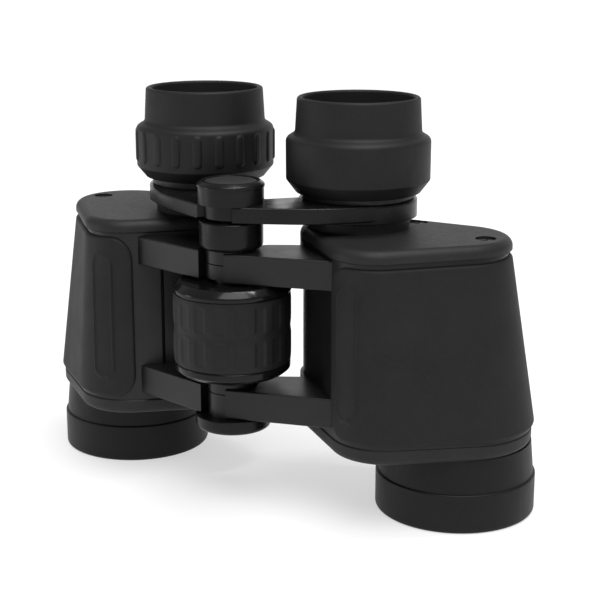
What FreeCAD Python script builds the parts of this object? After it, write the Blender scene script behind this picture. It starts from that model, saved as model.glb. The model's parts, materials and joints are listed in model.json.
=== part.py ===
"""Porro-prism binoculars, built as an assembly of separate pieces (millimetres).

The glass stands on its two objective rings with the eyepieces up (+Z).  +X is the user's left half, which
carries the centre axle; the right half swings about that axle.  -Y is the side that faces up in use.
Everything is laid out around the centre axle and shifted by AXLE_Y at the end, so that the origin is the
centre of the footprint at table height.
"""

import FreeCAD, Part

import math
import os

os.makedirs("parts", exist_ok=True)

V = FreeCAD.Vector
UP = V(0, 0, 1)

# ---- Driving dimensions -------------------------------------------------------------------------------
AXLE_Y = -18.5            # where the centre axle stands in the final frame
EYE = (26.5, 27.1)        # eyepiece axis of the left half, measured from the centre axle
OBJ = (58.0, 30.7)        # objective axis of the left half

# Housing outline: a rounded triangle around three discs (x, y, radius), wider at the objective end.
DISCS_LOW = [(26.5, 27.1, 16.8), (44.6, 10.7, 16.9), (58.2, 29.3, 23.0)]
DISCS_TOP = [(26.5, 27.1, 16.8), (42.3, 7.5, 13.0), (57.1, 27.6, 16.5)]
BODY_Z = (26.3, 78.3)     # prism housing
PLATE_Z = (21.6, 26.3)    # objective plate under it
COVER_Z = (78.3, 82.2)    # eyepiece plate above it
SKIN_Z = (27.2, 77.1)     # rubber armour around it
SKIN = 1.1                # armour thickness
WALL = 1.8                # housing wall
PLATE_STEP = 0.8          # the objective plate is set back from the armour by this much
FRONT_SEAM_X = 33.6       # inner edge of the armour on the upper side
BACK_SEAM_X = 24.0        # inner edge of the armour on the lower side

# Arms between housing and axle.
UPPER_ARM_Z = (68.7, 77.2)
LOWER_ARM_Z = (28.4, 37.2)
ARM_OFFSET = 8.2          # distance of the arm's front face from the axle
ARM_ANGLE = math.radians(14.0)
KNUCKLE_R = 7.4
KNUCKLE_CLEAR_R = 7.7
OUTER_KNUCKLES = [(73.8, 77.5), (28.1, 35.1)]     # on the left half
INNER_KNUCKLES = [(69.3, 73.5), (35.4, 38.3)]     # on the right half

AXLE_R = 5.0
AXLE_BORE_R = 3.6
RUN = 0.05                # radial running clearance

# Focus wheel.
WHEEL_Z = (41.0, 68.3)
GRIP_Z = (44.4, 65.1)
WHEEL_R = 17.2
HUB_R = 14.6
CHAMBER_Z = (46.8, 60.4)
CHAMBER_R = 8.3
FLUTES = 18

# Bridge that carries the eyepieces.
BRIDGE_Z = 86.1
BRIDGE_TOP_LEFT = 90.7
BRIDGE_TOP_RIGHT = 90.4
BRIDGE_BOSS_R = 9.5
BRIDGE_RING_R = 7.7
BRIDGE_CLEAR_R = 8.0
EDGE = 0.5                # rounding along the arms of housing and bridge
SEAM_BEVEL = 0.5          # bevels that show as fine lines along the seams of both plates
COVER_ROUND = 2.6         # rounding around the top of the eyepiece plate
RELIEF_X = 28.0           # edge of the set-back panel on the casting's inner side
RELIEF_DEPTH = 0.9
RELIEF_GROOVE = (1.0, 1.25)    # width and depth of the groove along that edge
EYE_RING_R = 17.3
EYE_RING_ROUND = 0.8      # rounding around the top of the eyepiece ring
FOCUS_TRAVEL = 8.0

# Eyepieces.
TUBE_R = 13.4             # sliding part inside the guide
NECK_R = 16.3
SEAT_R = 15.0             # where the tube sits in the bridge ring
TOP_TUBE_R = 14.6
CELL_R = 11.9             # bore for the eye lens cell
COLLAR_R = 21.0
COLLAR_TOP = 108.9
CUP_R = 18.0
CUP_BORE_R = 16.5
CUP_TOP = 119.6
RIBS = 20
RIB_R = 2.0               # curvature of a grip rib
RIB_RISE = 0.45           # how far a rib stands out of the collar

# Optics: Porro prisms that move the beam from the objective axis to the eyepiece axis in two equal steps.
SHELF_Z = (50.0, 52.4)
PRISM_HALF_WIDTH = 9.0
PRISM_OVERHANG = 9.6
RIDGE_CUT = 1.5


# ---- Helpers ------------------------------------------------------------------------------------------
def write(name, shape):
    """Move a piece from the axle frame into the final frame and write it."""
    moved = shape.copy()
    moved.translate(V(0, AXLE_Y, 0))
    moved.exportStep("parts/" + name + ".step")


def mirrored(shape):
    """The same piece for the other half."""
    return shape.mirror(V(0, 0, 0), V(1, 0, 0))


def turned(profile, centre=(0.0, 0.0)):
    """Solid of revolution about +Z through centre, from (radius, z) corners."""
    points = [V(r, 0, z) for r, z in profile]
    points.append(points[0])
    solid = Part.Face(Part.makePolygon(points)).revolve(V(0, 0, 0), UP, 360)
    solid.translate(V(centre[0], centre[1], 0))
    return solid


def cylinder(radius, low, high, centre=(0.0, 0.0)):
    return Part.makeCylinder(radius, high - low, V(centre[0], centre[1], low))


def ring(outer, inner, low, high, centre=(0.0, 0.0)):
    return cylinder(outer, low, high, centre).cut(cylinder(inner, low, high, centre))


def slab(points, low, high):
    """Flat plate from plan corners."""
    corners = [V(x, y, low) for x, y in points]
    corners.append(corners[0])
    return Part.Face(Part.makePolygon(corners)).extrude(V(0, 0, high - low))


def rounded(shape, radius, picks):
    """Fillet the edges for which picks(edge) is true."""
    edges = [edge for edge in shape.Edges if picks(edge)]
    return shape.makeFillet(radius, edges)


def bevelled(shape, size, picks):
    """Chamfer the edges for which picks(edge) is true."""
    edges = [edge for edge in shape.Edges if picks(edge)]
    return shape.makeChamfer(size, edges)


def flat_edges_at(z):
    """Picks the edges that lie in the plane at height z."""
    def test(edge):
        box = edge.BoundBox
        return abs(box.ZMin - z) < 1e-3 and abs(box.ZMax - z) < 1e-3
    return test


def round_edge_at(z, radius):
    """Picks the full circle of this radius at height z."""
    def test(edge):
        box = edge.BoundBox
        level = abs(box.ZMin - z) < 1e-3 and abs(box.ZMax - z) < 1e-3
        return level and abs(box.XLength - 2 * radius) < 1e-2
    return test


def discs_at(z, inset=0.0, keep_eye_disc=True):
    """Housing discs at height z, the armoured ones made smaller by inset."""
    part = (z - SKIN_Z[0]) / (SKIN_Z[1] - SKIN_Z[0])
    discs = []
    for index, (low, top) in enumerate(zip(DISCS_LOW, DISCS_TOP)):
        x, y, r = (a + (b - a) * part for a, b in zip(low, top))
        shrink = 0.0 if index == 0 and keep_eye_disc else inset
        discs.append((x, y, r - shrink))
    return discs


def hull_wire(discs, z):
    """Outline around the discs, anticlockwise: one arc per disc, joined by tangent lines."""
    turns = []
    for (x1, y1, r1), (x2, y2, r2) in zip(discs, discs[1:] + discs[:1]):
        along = math.atan2(y2 - y1, x2 - x1)
        turns.append(along - math.acos((r1 - r2) / math.hypot(x2 - x1, y2 - y1)))

    def on_disc(disc, angle):
        return V(disc[0] + disc[2] * math.cos(angle), disc[1] + disc[2] * math.sin(angle), z)

    edges = []
    for index, disc in enumerate(discs):
        start = turns[index - 1]
        end = turns[index]
        while end < start:
            end += 2 * math.pi
        following = discs[(index + 1) % len(discs)]
        edges.append(Part.Arc(on_disc(disc, start), on_disc(disc, (start + end) / 2), on_disc(disc, end)).toShape())
        edges.append(Part.makeLine(on_disc(disc, end), on_disc(following, end)))
    return Part.Wire(edges)


def hull_loft(low, high, inset=0.0, wall=0.0):
    """Tapered block with the housing's outline."""
    wires = []
    for z in (low, high):
        discs = [(x, y, r - wall) for x, y, r in discs_at(z, inset)]
        wires.append(hull_wire(discs, z))
    return Part.makeLoft(wires, True, True)


def hull_plate(discs, low, high):
    return Part.Face(hull_wire(discs, low)).extrude(V(0, 0, high - low))


def lens(radius, low_edge, high_edge, low_bulge, high_bulge, centre):
    """Round lens: edge faces at two heights, each face bulging out (+) or in (-) by its amount."""
    low_tip = V(0, 0, low_edge - low_bulge)
    high_tip = V(0, 0, high_edge + high_bulge)
    low_rim = V(radius, 0, low_edge)
    high_rim = V(radius, 0, high_edge)

    def face_edge(tip, rim, rim_z, bulge):
        if abs(bulge) < 1e-6:
            return Part.makeLine(tip, rim)
        curve_radius = (radius ** 2 + bulge ** 2) / (2 * abs(bulge))
        half = radius / 2
        drop = curve_radius - math.sqrt(curve_radius ** 2 - half ** 2)
        sign = 1.0 if tip.z > rim_z else -1.0
        return Part.Arc(tip, V(half, 0, tip.z - sign * drop), rim).toShape()

    edges = [
        face_edge(low_tip, low_rim, low_edge, low_bulge),
        Part.makeLine(low_rim, high_rim),
        face_edge(high_tip, high_rim, high_edge, high_bulge),
        Part.makeLine(high_tip, low_tip),
    ]
    solid = Part.Face(Part.Wire(Part.__sortEdges__(edges))).revolve(V(0, 0, 0), UP, 360)
    solid.translate(V(centre[0], centre[1], 0))
    return solid


# ---- Prism layout -------------------------------------------------------------------------------------
def turn_axis():
    """Axis between the two prisms: the same distance from both optical axes, at a right angle."""
    mid = ((EYE[0] + OBJ[0]) / 2, (EYE[1] + OBJ[1]) / 2)
    half = ((OBJ[0] - EYE[0]) / 2, (OBJ[1] - EYE[1]) / 2)
    return (mid[0] + half[1], mid[1] - half[0])


TURN = turn_axis()


def prism(start, end, base_z, upward):
    """Right-angle prism: its long face spans both axes and lies on base_z."""
    step = math.hypot(end[0] - start[0], end[1] - start[1])
    along = V((end[0] - start[0]) / step, (end[1] - start[1]) / step, 0)
    across = V(-along.y, along.x, 0)
    half_length = step / 2 + PRISM_OVERHANG
    sign = 1.0 if upward else -1.0
    ridge = half_length - RIDGE_CUT
    centre = V((start[0] + end[0]) / 2, (start[1] + end[1]) / 2, base_z)
    side = [(-half_length, 0), (half_length, 0), (half_length - ridge, ridge), (ridge - half_length, ridge)]
    corners = [centre + along * s + UP * (sign * h) - across * PRISM_HALF_WIDTH for s, h in side]
    corners.append(corners[0])
    return Part.Face(Part.makePolygon(corners)).extrude(across * (2 * PRISM_HALF_WIDTH))


def prism_clip(start, end, base_z, upward):
    """Spring strap over the prism's ridge, with two feet on the shelf."""
    thick = 0.6
    width = 2.6
    foot = 1.8
    step = math.hypot(end[0] - start[0], end[1] - start[1])
    along = V((end[0] - start[0]) / step, (end[1] - start[1]) / step, 0)
    across = V(-along.y, along.x, 0)
    sign = 1.0 if upward else -1.0
    height = step / 2 + PRISM_OVERHANG - RIDGE_CUT
    inner = PRISM_HALF_WIDTH + 0.05
    outer = inner + thick
    centre = V((start[0] + end[0]) / 2, (start[1] + end[1]) / 2, base_z)
    strap = [
        (-outer - foot, 0), (-outer - foot, thick), (-outer, thick), (-outer, height + thick),
        (outer, height + thick), (outer, thick), (outer + foot, thick), (outer + foot, 0),
        (inner, 0), (inner, height), (-inner, height), (-inner, 0),
    ]
    corners = [centre + across * s + UP * (sign * h) - along * (width / 2) for s, h in strap]
    corners.append(corners[0])
    return Part.Face(Part.makePolygon(corners)).extrude(along * width)


# ---- Housing and arms (drawn for the left half, +X) -----------------------------------------------------
COVER_SCREWS = [(66.7, 27.5), (40.2, 39.4)]
POST_R = 4.4              # posts in the housing that take the cover screws
RECESS_R = 3.0
SCREW_HEAD_R = 2.5


def on_arm_face(distance):
    """Point on the arm's front face, this far along it from the foot of the axle."""
    return (
        ARM_OFFSET * math.sin(ARM_ANGLE) + distance * math.cos(ARM_ANGLE),
        -ARM_OFFSET * math.cos(ARM_ANGLE) + distance * math.sin(ARM_ANGLE),
    )


def on_front_of_arm(edge):
    """Picks the level edges along the arm's front face."""
    level = edge.BoundBox.ZLength < 1e-3
    reach = [v.X * math.sin(ARM_ANGLE) - v.Y * math.cos(ARM_ANGLE) for v in edge.Vertexes]
    return level and all(abs(r - ARM_OFFSET) < 1e-3 for r in reach)


def arm(span, start, undercut, own_knuckles, other_knuckles):
    """One arm: a web from the axle to the housing wall, with its knuckle.

    The web's inner end goes from the front face to the undercut point behind it.
    """
    into_wall = on_arm_face(32.0)
    inner_end = on_arm_face(start)
    web = slab([inner_end, into_wall, (17.4, 15.4), (6.5, 9.6), (3.4, 6.0), undercut], span[0], span[1])
    web = rounded(web, EDGE, on_front_of_arm)
    for low, high in other_knuckles:
        web = web.cut(cylinder(KNUCKLE_CLEAR_R, low - 0.7, high + 0.7))
    for low, high in own_knuckles:
        web = web.fuse(cylinder(KNUCKLE_R, low, high))
    return web


def arms(left):
    own = OUTER_KNUCKLES if left else INNER_KNUCKLES
    other = INNER_KNUCKLES if left else OUTER_KNUCKLES
    start = 0.3 if left else 5.2
    undercut = (1.3, -4.3) if left else (8.8, -4.1)
    upper = arm(UPPER_ARM_Z, start, undercut, [own[0]], [other[0]])
    lower = arm(LOWER_ARM_Z, start, undercut, [own[1]], [other[1]])
    return upper.fuse(lower)


def inner_relief(near, far, depth):
    """What is cut away from the casting's inner side between the arms, from plan position near to far."""
    low = LOWER_ARM_Z[1]
    high = UPPER_ARM_Z[0]
    block = Part.makeBox(far - near, 40.0, high - low, V(near, -13.0, low))
    skin = hull_loft(BODY_Z[0], BODY_Z[1], SKIN, -1.0).cut(hull_loft(BODY_Z[0], BODY_Z[1], SKIN, depth))
    return skin.common(block)


def prism_housing(left):
    body = hull_loft(BODY_Z[0], BODY_Z[1], SKIN)
    body = body.fuse(arms(left))
    body = body.cut(hull_loft(BODY_Z[0], BODY_Z[1], SKIN, WALL))
    shell = hull_loft(BODY_Z[0], BODY_Z[1], SKIN, 0.4)
    for place in COVER_SCREWS:
        post = cylinder(POST_R, BODY_Z[1] - 6.0, BODY_Z[1], place).common(shell)
        post = post.cut(cylinder(1.25, BODY_Z[1] - 6.0, BODY_Z[1], place))
        body = body.fuse(post)
    groove_width, groove_depth = RELIEF_GROOVE
    body = body.cut(inner_relief(0.0, RELIEF_X, RELIEF_DEPTH))
    body = body.cut(inner_relief(RELIEF_X - groove_width, RELIEF_X, groove_depth))
    bore = AXLE_R if left else AXLE_R + RUN
    body = body.cut(cylinder(bore, LOWER_ARM_Z[0] - 1, UPPER_ARM_Z[1] + 1))
    return body.removeSplitter()


def armor():
    """Rubber skin: wraps the housing from seam to seam, with rounded corners at the seams."""
    low, high = SKIN_Z
    wires = []
    for z in (low, high):
        eye_disc, turn_disc, objective_disc = discs_at(z)
        eye_disc = (eye_disc[0], eye_disc[1], eye_disc[2] + SKIN)
        wires.append(hull_wire([eye_disc, turn_disc, objective_disc], z))
    skin = Part.makeLoft(wires, True, True).cut(hull_loft(BODY_Z[0], BODY_Z[1], SKIN))
    corner = 7.0
    front = Part.makeBox(80, 40, high - low, V(FRONT_SEAM_X, -18, low))
    back = Part.makeBox(80, 40, high - low, V(BACK_SEAM_X, 22, low))

    def seam_corners(x):
        def test(edge):
            box = edge.BoundBox
            return box.XLength < 1e-3 and abs(box.XMin - x) < 1e-3 and box.YLength > 30
        return test

    front = rounded(front, corner, seam_corners(FRONT_SEAM_X))
    back = rounded(back, corner, seam_corners(BACK_SEAM_X))
    return skin.common(front.fuse(back).removeSplitter())


def eyepiece_plate():
    """Cover at the eyepiece end, with the guide in which the eyepiece tube slides."""
    plate = hull_plate(DISCS_TOP, COVER_Z[0], COVER_Z[1])
    plate = rounded(plate, COVER_ROUND, flat_edges_at(COVER_Z[1]))
    plate = bevelled(plate, SEAM_BEVEL, flat_edges_at(COVER_Z[0]))
    plate = plate.fuse(cylinder(TUBE_R + 1.8, COVER_Z[1], COVER_Z[1] + 2.6, EYE))
    plate = plate.cut(cylinder(TUBE_R + RUN, COVER_Z[0], COVER_Z[1] + 2.6, EYE))
    for place in COVER_SCREWS:
        plate = plate.cut(cylinder(1.25, COVER_Z[0], COVER_Z[1], place))
        plate = plate.cut(cylinder(RECESS_R, COVER_Z[1] - 1.9, COVER_Z[1], place))
    return plate


def cover_screws():
    """The screws of one eyepiece plate, as one group."""
    group = []
    for place in COVER_SCREWS:
        seat = COVER_Z[1] - 1.9
        head = cylinder(SCREW_HEAD_R, seat, seat + 1.3, place)
        for quarter in (0, 90):
            slot = Part.makeBox(3.0, 0.6, 0.7, V(place[0] - 1.5, place[1] - 0.3, seat + 0.6))
            slot.rotate(V(place[0], place[1], 0), UP, quarter)
            head = head.cut(slot)
        group.append(head.fuse(cylinder(1.2, BODY_Z[1] - 5.0, seat, place)))
    return Part.makeCompound(group)


def objective_plate():
    """Cover at the objective end, into which the objective tube is screwed."""
    discs = [DISCS_LOW[0]] + [(x, y, r - PLATE_STEP) for x, y, r in DISCS_LOW[1:]]
    plate = hull_plate(discs, PLATE_Z[0], PLATE_Z[1])
    plate = rounded(plate, 2.0, flat_edges_at(PLATE_Z[0]))
    plate = bevelled(plate, SEAM_BEVEL, flat_edges_at(PLATE_Z[1]))
    return plate.cut(cylinder(19.4, PLATE_Z[0], PLATE_Z[1], OBJ))


def objective_tube():
    profile = [
        (18.6, 9.0), (20.8, 9.0), (20.8, 11.7), (23.2, 11.7), (22.0, PLATE_Z[0]), (19.4, PLATE_Z[0]),
        (19.4, PLATE_Z[1]), (16.8, PLATE_Z[1]), (16.8, 19.5), (18.6, 19.5),
    ]
    return turned(profile, OBJ)


def objective_ring():
    """Rim that the glass stands on; it shields the lens, which sits well inside."""
    profile = [(21.2, 0.0), (23.5, 0.0), (23.5, 11.7), (20.8, 11.7), (20.8, 9.0), (19.0, 9.0)]
    body = turned(profile, OBJ)
    return rounded(body, 1.6, round_edge_at(0.0, 23.5))


def objective_crown():
    return lens(18.5, 14.2, 16.4, 1.8, 1.5, OBJ)


def objective_flint():
    return lens(18.5, 16.4, 19.5, -1.5, 0.0, OBJ)


def objective_retainer():
    return ring(18.6, 17.3, 11.3, 13.8, OBJ)


def prism_shelf():
    """Plate across the housing that both prisms are strapped to."""
    block = Part.makeBox(90, 80, SHELF_Z[1] - SHELF_Z[0], V(0, -20, SHELF_Z[0]))
    shelf = hull_loft(BODY_Z[0], BODY_Z[1], SKIN, WALL).common(block)
    for axis in (EYE, TURN, OBJ):
        shelf = shelf.cut(cylinder(8.6, SHELF_Z[0], SHELF_Z[1], axis))
    return shelf


# ---- Centre axle and focusing ---------------------------------------------------------------------------
PIN_Z = 49.5
PIN_R = 1.1


def hinge_axle():
    """Hollow axle, with a slot on each side for the focus pin."""
    axle = ring(AXLE_R, AXLE_BORE_R, 26.0, 85.5)
    slot_low = PIN_Z - PIN_R - 0.6
    slot_high = PIN_Z + FOCUS_TRAVEL + PIN_R + 0.6
    slot = Part.makeBox(2 * PIN_R + 0.6, 14, slot_high - slot_low, V(-PIN_R - 0.3, -7, slot_low))
    return axle.cut(slot)


def hinge_sleeve():
    sleeve = ring(9.2, AXLE_R, 77.5, 85.7)
    return rounded(sleeve, 1.8, round_edge_at(77.5, 9.2))


def front_hinge_cap():
    cap = cylinder(11.1, 24.0, 28.1)
    cap = rounded(cap, 1.3, round_edge_at(24.0, 11.1))
    return cap.cut(cylinder(AXLE_R, 26.0, 28.1))


def focus_wheel_hub():
    hub = ring(HUB_R, AXLE_R + RUN, WHEEL_Z[0] + 0.3, WHEEL_Z[1] - 0.3)
    return hub.cut(cylinder(CHAMBER_R, CHAMBER_Z[0], CHAMBER_Z[1]))


def focus_wheel_grip():
    """Rubber tyre of the wheel: two rows of shallow flutes with a slight waist between them."""
    low, high = GRIP_Z
    middle = (low + high) / 2
    grip = turned([
        (HUB_R, low), (WHEEL_R - 0.3, low), (WHEEL_R, low + 3.0), (WHEEL_R, middle - 3.0),
        (WHEEL_R - 0.5, middle), (WHEEL_R, middle + 3.0), (WHEEL_R, high - 3.0), (WHEEL_R - 0.3, high),
        (HUB_R, high),
    ])
    cutter_r = 3.2
    depth = 0.35
    for index in range(FLUTES):
        angle = 2 * math.pi * index / FLUTES
        reach = WHEEL_R + cutter_r - depth
        place = (reach * math.cos(angle), reach * math.sin(angle))
        grip = grip.cut(cylinder(cutter_r, low + 2.0, middle - 0.8, place))
        grip = grip.cut(cylinder(cutter_r, middle + 0.8, high - 2.0, place))
    return grip


def focus_wheel_upper_flange():
    low, high = GRIP_Z[1], WHEEL_Z[1]
    return turned([(HUB_R, low), (WHEEL_R, low), (WHEEL_R, high - 1.3), (WHEEL_R - 1.6, high), (HUB_R, high)])


def focus_wheel_lower_flange():
    low, high = WHEEL_Z[0], GRIP_Z[0]
    return turned([(HUB_R, low), (WHEEL_R - 1.9, low), (WHEEL_R - 0.3, low + 1.3), (WHEEL_R - 0.3, high), (HUB_R, high)])


def focus_nut():
    """Threaded ring inside the wheel; it climbs as the wheel turns."""
    nut = ring(CHAMBER_R - 0.3, AXLE_R + 0.1, 47.2, 51.8)
    return nut.cut(Part.makeCylinder(PIN_R, 40, V(0, -20, PIN_Z), V(0, 1, 0)))


def focus_pin():
    reach = CHAMBER_R - 0.4
    return Part.makeCylinder(PIN_R, 2 * reach, V(0, -reach, PIN_Z), V(0, 1, 0))


def focus_rod():
    """Rod inside the axle; its head is the pivot of the bridge."""
    rod = turned([(0, 45.8), (3.4, 45.8), (3.4, 86.3), (AXLE_R, 86.3), (AXLE_R, 95.4), (0, 95.4)])
    return rod.cut(Part.makeCylinder(PIN_R, 40, V(0, -20, PIN_Z), V(0, 1, 0)))


# ---- Bridge and eyepieces ---------------------------------------------------------------------------------
def bridge_web(start, top):
    """Arm of the bridge: from the boss, along its front face, then around to the eyepiece ring."""
    ring_angle = math.radians(-45.0)
    join = (EYE[0] + EYE_RING_R * math.cos(ring_angle), EYE[1] + EYE_RING_R * math.sin(ring_angle))
    low = BRIDGE_Z

    def at(point):
        return V(point[0], point[1], low)

    front = (20.0, -0.3)
    bend = (30.3, 6.2)

    def along_front(edge):
        """Picks the level edges from the boss around to the ring."""
        box = edge.BoundBox
        outer = [v for v in edge.Vertexes if v.Y < join[1] + 1e-3 and (v.Y < -4 or v.X > 19.9)]
        return box.ZLength < 1e-3 and len(outer) == 2 and box.XMax > 15

    edges = [
        Part.makeLine(at(start), at(front)),
        Part.Arc(at(front), at(bend), at(join)).toShape(),
        Part.makeLine(at(join), at(EYE)),
        Part.makeLine(at(EYE), at((12.6, 16.0))),
        Part.makeLine(at((12.6, 16.0)), at((4.4, 7.4))),
        Part.makeLine(at((4.4, 7.4)), at((4.0, -3.0))),
        Part.makeLine(at((4.0, -3.0)), at(start)),
    ]
    web = Part.Face(Part.Wire(edges)).extrude(V(0, 0, top - low))
    web = rounded(web, EDGE, along_front)
    eye_ring = cylinder(EYE_RING_R, low - 0.7, top, EYE)
    eye_ring = rounded(eye_ring, EYE_RING_ROUND, round_edge_at(top, EYE_RING_R))
    return web.fuse(eye_ring)


def left_bridge_arm():
    web = bridge_web((4.9, -7.2), BRIDGE_TOP_LEFT)
    web = web.cut(cylinder(BRIDGE_CLEAR_R, BRIDGE_Z, BRIDGE_TOP_LEFT))
    boss = cylinder(BRIDGE_BOSS_R, BRIDGE_TOP_LEFT, 95.4)
    body = web.fuse(boss)
    body = body.cut(cylinder(AXLE_R, BRIDGE_TOP_LEFT, 95.4))
    return body.cut(cylinder(SEAT_R, BRIDGE_Z - 0.7, BRIDGE_TOP_LEFT, EYE))


def right_bridge_arm():
    web = bridge_web((7.6, -6.0), BRIDGE_TOP_RIGHT)
    web = web.fuse(cylinder(BRIDGE_RING_R, BRIDGE_Z + 0.6, BRIDGE_TOP_RIGHT))
    web = web.cut(cylinder(AXLE_R + RUN, BRIDGE_Z, BRIDGE_TOP_RIGHT))
    web = web.cut(cylinder(30, BRIDGE_Z, BRIDGE_Z + 0.6).common(cylinder(9.8, 0, 100)))
    return web.cut(cylinder(SEAT_R, BRIDGE_Z - 0.7, BRIDGE_TOP_RIGHT, EYE))


def bridge_cap():
    return turned([(0, 95.4), (9.7, 95.4), (9.7, 96.2), (8.4, 97.2), (7.5, 97.2), (7.5, 96.6), (0, 96.6)])


def bridge_cap_disc():
    return cylinder(7.4, 96.6, 97.3)


def eyepiece_tube(bridge_top, top):
    """Tube that holds the eyepiece lenses; it sits in the bridge ring and slides in the housing's guide."""
    profile = [
        (11.2, 73.5), (TUBE_R, 73.5), (TUBE_R, 85.4), (SEAT_R, 85.4), (SEAT_R, bridge_top), (NECK_R, bridge_top),
        (NECK_R, 95.0), (TOP_TUBE_R, 95.0), (TOP_TUBE_R, top), (CELL_R, top), (CELL_R, 92.0), (10.2, 92.0),
        (10.2, 85.0), (11.2, 85.0),
    ]
    return turned(profile, EYE)


def collar(low, ledge, bore_gap):
    """Collar around the eyepiece; on the right it is the diopter ring."""
    return turned([
        (NECK_R + bore_gap, low), (18.2, low), (COLLAR_R, 96.0), (COLLAR_R, COLLAR_TOP - 1.6),
        (COLLAR_R - 0.5, COLLAR_TOP - 0.5), (COLLAR_R - 1.6, COLLAR_TOP), (17.0, COLLAR_TOP), (17.0, 99.0),
        (TOP_TUBE_R + bore_gap, 99.0),
        (TOP_TUBE_R + bore_gap, ledge), (NECK_R + bore_gap, ledge),
    ], EYE)


def diopter_ring():
    body = collar(92.6, 95.3, RUN)
    for index in range(RIBS):
        angle = 2 * math.pi * (index + 0.5) / RIBS
        reach = COLLAR_R - RIB_R + RIB_RISE
        place = (EYE[0] + reach * math.cos(angle), EYE[1] + reach * math.sin(angle))
        body = body.fuse(cylinder(RIB_R, 97.6, 107.0, place))
    return body


def eyecup(bore_gap):
    """Rubber eyecup: a skirt held in the collar and an open cup above it."""
    cup = turned([
        (TOP_TUBE_R + bore_gap, 99.3), (17.0, 99.3), (17.0, COLLAR_TOP), (18.8, COLLAR_TOP),
        (CUP_R + 0.3, COLLAR_TOP + 0.4), (CUP_R, COLLAR_TOP + 1.1), (CUP_R, CUP_TOP - 1.0),
        (CUP_R - 0.3, CUP_TOP - 0.3), (CUP_R - 0.8, CUP_TOP), (CUP_BORE_R + 0.3, CUP_TOP),
        (CUP_BORE_R, CUP_TOP - 0.4), (CUP_BORE_R, 109.9), (15.8, 109.1), (15.8, 108.2), (10.0, 108.2),
        (10.0, 106.6), (TOP_TUBE_R + bore_gap, 106.6),
    ], EYE)
    return cup


def lens_cell(gap):
    """Cell of the eye lens; on the right it moves when the diopter ring turns."""
    return turned([
        (7.4, 96.0), (CELL_R - gap, 96.0), (CELL_R - gap, 104.7), (8.6, 104.7), (8.6, 98.0), (7.4, 98.0),
    ], EYE)


def eye_lens():
    return lens(8.5, 98.4, 101.2, 0.0, 1.4, EYE)


def eye_lens_retainer():
    return ring(8.6, 7.6, 101.7, 103.2, EYE)


def field_lens():
    return lens(11.1, 81.2, 84.6, 1.2, 0.0, EYE)


def field_lens_retainer():
    return ring(11.2, 10.2, 78.6, 81.0, EYE)


# ---- Build ------------------------------------------------------------------------------------------------
def build_half(left):
    side = "left_" if left else "right_"
    pieces = {
        "prism_housing": prism_housing(left),
        "armor": armor(),
        "eyepiece_plate": eyepiece_plate(),
        "cover_screws": cover_screws(),
        "objective_plate": objective_plate(),
        "objective_tube": objective_tube(),
        "objective_ring": objective_ring(),
        "objective_crown_lens": objective_crown(),
        "objective_flint_lens": objective_flint(),
        "objective_retainer": objective_retainer(),
        "prism_shelf": prism_shelf(),
        "upper_prism": prism(OBJ, TURN, SHELF_Z[1], True),
        "lower_prism": prism(TURN, EYE, SHELF_Z[0], False),
        "upper_prism_clip": prism_clip(OBJ, TURN, SHELF_Z[1], True),
        "lower_prism_clip": prism_clip(TURN, EYE, SHELF_Z[0], False),
        "field_lens": field_lens(),
        "field_lens_retainer": field_lens_retainer(),
        "eye_lens": eye_lens(),
        "eye_lens_retainer": eye_lens_retainer(),
    }
    if left:
        pieces["bridge_arm"] = left_bridge_arm()
        pieces["eyepiece_tube"] = eyepiece_tube(BRIDGE_TOP_LEFT, 106.5)
        pieces["eyepiece_collar"] = collar(92.3, 95.0, 0.0)
        pieces["eyecup"] = eyecup(0.0)
        pieces["lens_cell"] = lens_cell(0.0)
    else:
        pieces["bridge_arm"] = right_bridge_arm()
        pieces["eyepiece_tube"] = eyepiece_tube(BRIDGE_TOP_RIGHT, 106.2)
        pieces["diopter_ring"] = diopter_ring()
        pieces["eyecup"] = eyecup(RUN)
        pieces["lens_cell"] = lens_cell(RUN)
    for name, shape in pieces.items():
        write(side + name, shape if left else mirrored(shape))


def build_centre():
    write("hinge_axle", hinge_axle())
    write("hinge_sleeve", hinge_sleeve())
    write("front_hinge_cap", front_hinge_cap())
    write("focus_wheel_hub", focus_wheel_hub())
    write("focus_wheel_grip", focus_wheel_grip())
    write("focus_wheel_upper_flange", focus_wheel_upper_flange())
    write("focus_wheel_lower_flange", focus_wheel_lower_flange())
    write("focus_nut", focus_nut())
    write("focus_pin", focus_pin())
    write("focus_rod", focus_rod())
    write("bridge_cap", bridge_cap())
    write("bridge_cap_disc", bridge_cap_disc())


build_half(True)
build_half(False)
build_centre()
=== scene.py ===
"""Looks for the binoculars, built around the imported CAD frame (Blender 4.5, metres).

Turned pieces (barrels, rims, collars, eyecups, wheel, hinge trim) are lathed from rounded profiles whose
corners are (radius, height, rounding) in millimetres.  The rubber armour is a thin shell wrapped around the
housing's outline.  Castings, covers and glass keep their CAD shape and only get their finish here.
"""

import json
import math

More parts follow.
